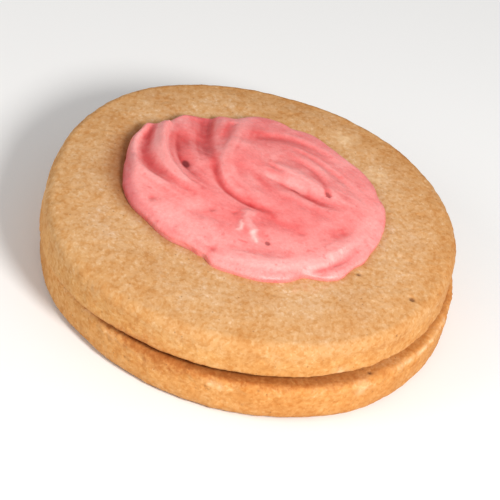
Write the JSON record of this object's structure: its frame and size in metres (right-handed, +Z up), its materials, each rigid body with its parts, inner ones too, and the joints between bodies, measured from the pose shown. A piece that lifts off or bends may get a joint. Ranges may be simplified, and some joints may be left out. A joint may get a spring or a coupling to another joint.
{
  "type": "belgian biscuit",
  "caption": "Round sandwich biscuit: flat spiced rounds joined by a thin layer of jam, topped with a swirled disc of pink icing.",
  "frame": {"origin": "centre of the flat face that the lower biscuit rests on", "axes": "+Z up through the thickness; +X towards the side where the upper biscuit stands a little higher; -Y towards the front, where the lower biscuit shows most"},
  "size_m": [0.0755, 0.0756, 0.0206],
  "materials": {
    "biscuit_lower": "baked biscuit, dry and sandy, golden brown",
    "biscuit_upper": "baked biscuit, dry and sandy, pale tan on top",
    "jam": "dark red jam, glossy",
    "icing": "soft pink icing, satin"
  },
  "bodies": {
    "root": {"biscuit_bottom": "biscuit_lower", "jam": "jam", "biscuit_top": "biscuit_upper", "icing": "icing"}
  },
  "joints": []
}
